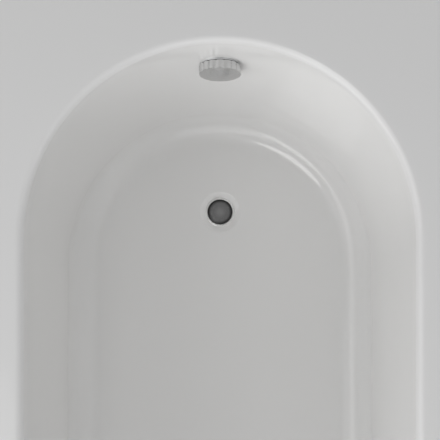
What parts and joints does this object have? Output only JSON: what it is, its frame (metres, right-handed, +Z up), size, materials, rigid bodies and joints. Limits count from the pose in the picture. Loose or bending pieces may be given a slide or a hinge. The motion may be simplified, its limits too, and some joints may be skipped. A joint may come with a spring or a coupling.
{
  "type": "freestanding bathtub",
  "caption": "Freestanding bathtub: flat deck round a round-ended well, lobed overflow knob that lifts the drain plug by a cable, tapered skirt, steel frame on levelling feet.",
  "frame": {"origin": "middle of the bath's footprint, on the floor the feet stand on", "axes": "+X along the bath towards the drain end, +Z up, +Y to the left seen from the head end"},
  "size_m": [1.8, 0.8, 0.6],
  "materials": {
    "basin_acrylic": "polished",
    "skirt_acrylic": "polished",
    "floor_board": "sanded",
    "batten_wood": "sawn",
    "frame_steel": "satin",
    "zinc_steel": "satin",
    "stud_steel": "satin",
    "foot_pad_plastic": "matte",
    "chrome": "polished",
    "plug_chrome": "polished",
    "knob_chrome": "polished",
    "collar_chrome": "polished",
    "seal_rubber": "matte",
    "gasket_rubber": "matte",
    "brass_stem": "satin",
    "waste_plastic": "matte",
    "lever_plastic": "matte",
    "pin_steel": "satin",
    "wire_steel": "satin",
    "cable_sheath": "satin",
    "hose_plastic": "satin",
    "clamp_steel": "satin",
    "clip_plastic": "matte",
    "trap_plastic": "satin",
    "trap_nut_plastic": "satin"
  },
  "bodies": {
    "tub": {"basin": "basin_acrylic", "skirt": "skirt_acrylic", "floor_board": "floor_board", "batten_left": "batten_wood", "batten_right": "batten_wood", "rail_left": "frame_steel", "rail_right": "frame_steel", "bearer_drain_end": "frame_steel", "bearer_middle": "frame_steel", "bearer_head_end": "frame_steel", "foot_weld_nuts": "zinc_steel", "foot_lock_nuts": "zinc_steel", "bracket_screws": "zinc_steel", "batten_screws": "zinc_steel", "drain_flange": "chrome", "waste_gasket": "gasket_rubber", "waste_body": "waste_plastic", "lever_pin": "pin_steel", "overflow_gasket": "gasket_rubber", "overflow_collar": "collar_chrome", "overflow_body": "waste_plastic", "drum_housing": "waste_plastic", "cable_sheath": "cable_sheath", "cable_core": "wire_steel", "overflow_hose": "hose_plastic", "hose_clamp_lower": "clamp_steel", "hose_clamp_upper": "clamp_steel", "cable_clips": "clip_plastic", "trap_bend": "trap_plastic", "trap_outlet": "trap_plastic", "trap_inlet_nut": "trap_nut_plastic", "trap_slip_nut": "trap_nut_plastic", "skirt_bracket_drain_left": "frame_steel", "skirt_bracket_drain_right": "frame_steel", "skirt_bracket_head_left": "frame_steel", "skirt_bracket_head_right": "frame_steel"},
    "knob": {"overflow_knob": "knob_chrome", "knob_grub_screw": "pin_steel", "overflow_spindle": "brass_stem", "cable_drum": "lever_plastic"},
    "wire_upper": {"cable_end_upper": "wire_steel"},
    "wire_lower": {"cable_end_lower": "wire_steel"},
    "lever": {"lift_lever": "lever_plastic"},
    "plug": {"drain_plug": "plug_chrome", "plug_seal": "seal_rubber", "plug_stem": "brass_stem"},
    "pad_drain_left": {"foot_pad_drain_left": "foot_pad_plastic"},
    "stud_drain_left": {"foot_stud_drain_left": "stud_steel"},
    "pad_drain_right": {"foot_pad_drain_right": "foot_pad_plastic"},
    "stud_drain_right": {"foot_stud_drain_right": "stud_steel"},
    "pad_head_left": {"foot_pad_head_left": "foot_pad_plastic"},
    "stud_head_left": {"foot_stud_head_left": "stud_steel"},
    "pad_head_right": {"foot_pad_head_right": "foot_pad_plastic"},
    "stud_head_right": {"foot_stud_head_right": "stud_steel"}
  },
  "joints": [
    {"name": "knob_turn", "type": "hinge", "parent": "tub", "child": "knob", "pos_m": [0.77782, 0, 0.491], "axis": [0.9703, 0, -0.2419], "range_deg": [0, 60]},
    {"name": "wire_upper_pull", "type": "slide", "parent": "tub", "child": "wire_upper", "axis": [0.2419, 0, 0.9703], "range_m": [0, 0.011]},
    {"name": "wire_lower_pull", "type": "slide", "parent": "tub", "child": "wire_lower", "axis": [1, 0, 0], "range_m": [0, 0.011]},
    {"name": "lever_swing", "type": "hinge", "parent": "tub", "child": "lever", "pos_m": [0.501, 0, 0.13], "axis": [0, -1, 0], "range_deg": [0, 30]},
    {"name": "plug_lift", "type": "slide", "parent": "tub", "child": "plug", "axis": [0, 0, 1], "range_m": [0, 0.0105]},
    {"name": "foot_lift_drain_left", "type": "slide", "parent": "tub", "child": "pad_drain_left", "axis": [0, 0, -1], "range_m": [0, 0.015]},
    {"name": "foot_turn_drain_left", "type": "hinge", "parent": "pad_drain_left", "child": "stud_drain_left", "pos_m": [0.64, 0.28033, 0.06], "axis": [0, 0, -1], "range_deg": [0, 3086]},
    {"name": "foot_lift_drain_right", "type": "slide", "parent": "tub", "child": "pad_drain_right", "axis": [0, 0, -1], "range_m": [0, 0.015]},
    {"name": "foot_turn_drain_right", "type": "hinge", "parent": "pad_drain_right", "child": "stud_drain_right", "pos_m": [0.64, -0.28033, 0.06], "axis": [0, 0, -1], "range_deg": [0, 3086]},
    {"name": "foot_lift_head_left", "type": "slide", "parent": "tub", "child": "pad_head_left", "axis": [0, 0, -1], "range_m": [0, 0.015]},
    {"name": "foot_turn_head_left", "type": "hinge", "parent": "pad_head_left", "child": "stud_head_left", "pos_m": [-0.5599, 0.28033, 0.06], "axis": [0, 0, -1], "range_deg": [0, 3086]},
    {"name": "foot_lift_head_right", "type": "slide", "parent": "tub", "child": "pad_head_right", "axis": [0, 0, -1], "range_m": [0, 0.015]},
    {"name": "foot_turn_head_right", "type": "hinge", "parent": "pad_head_right", "child": "stud_head_right", "pos_m": [-0.5599, -0.28033, 0.06], "axis": [0, 0, -1], "range_deg": [0, 3086]}
  ],
  "couplings": [
    {"joint": "wire_upper_pull", "follows": "knob_turn", "m_per_rad": 0.0105},
    {"joint": "wire_lower_pull", "follows": "knob_turn", "m_per_rad": 0.0105},
    {"joint": "lever_swing", "follows": "knob_turn", "ratio": 0.5},
    {"joint": "plug_lift", "follows": "knob_turn", "m_per_rad": 0.01},
    {"joint": "foot_turn_drain_left", "follows": "foot_lift_drain_left", "rad_per_m": 3590.4},
    {"joint": "foot_turn_drain_right", "follows": "foot_lift_drain_right", "rad_per_m": 3590.4},
    {"joint": "foot_turn_head_left", "follows": "foot_lift_head_left", "rad_per_m": 3590.4},
    {"joint": "foot_turn_head_right", "follows": "foot_lift_head_right", "rad_per_m": 3590.4}
  ]
}
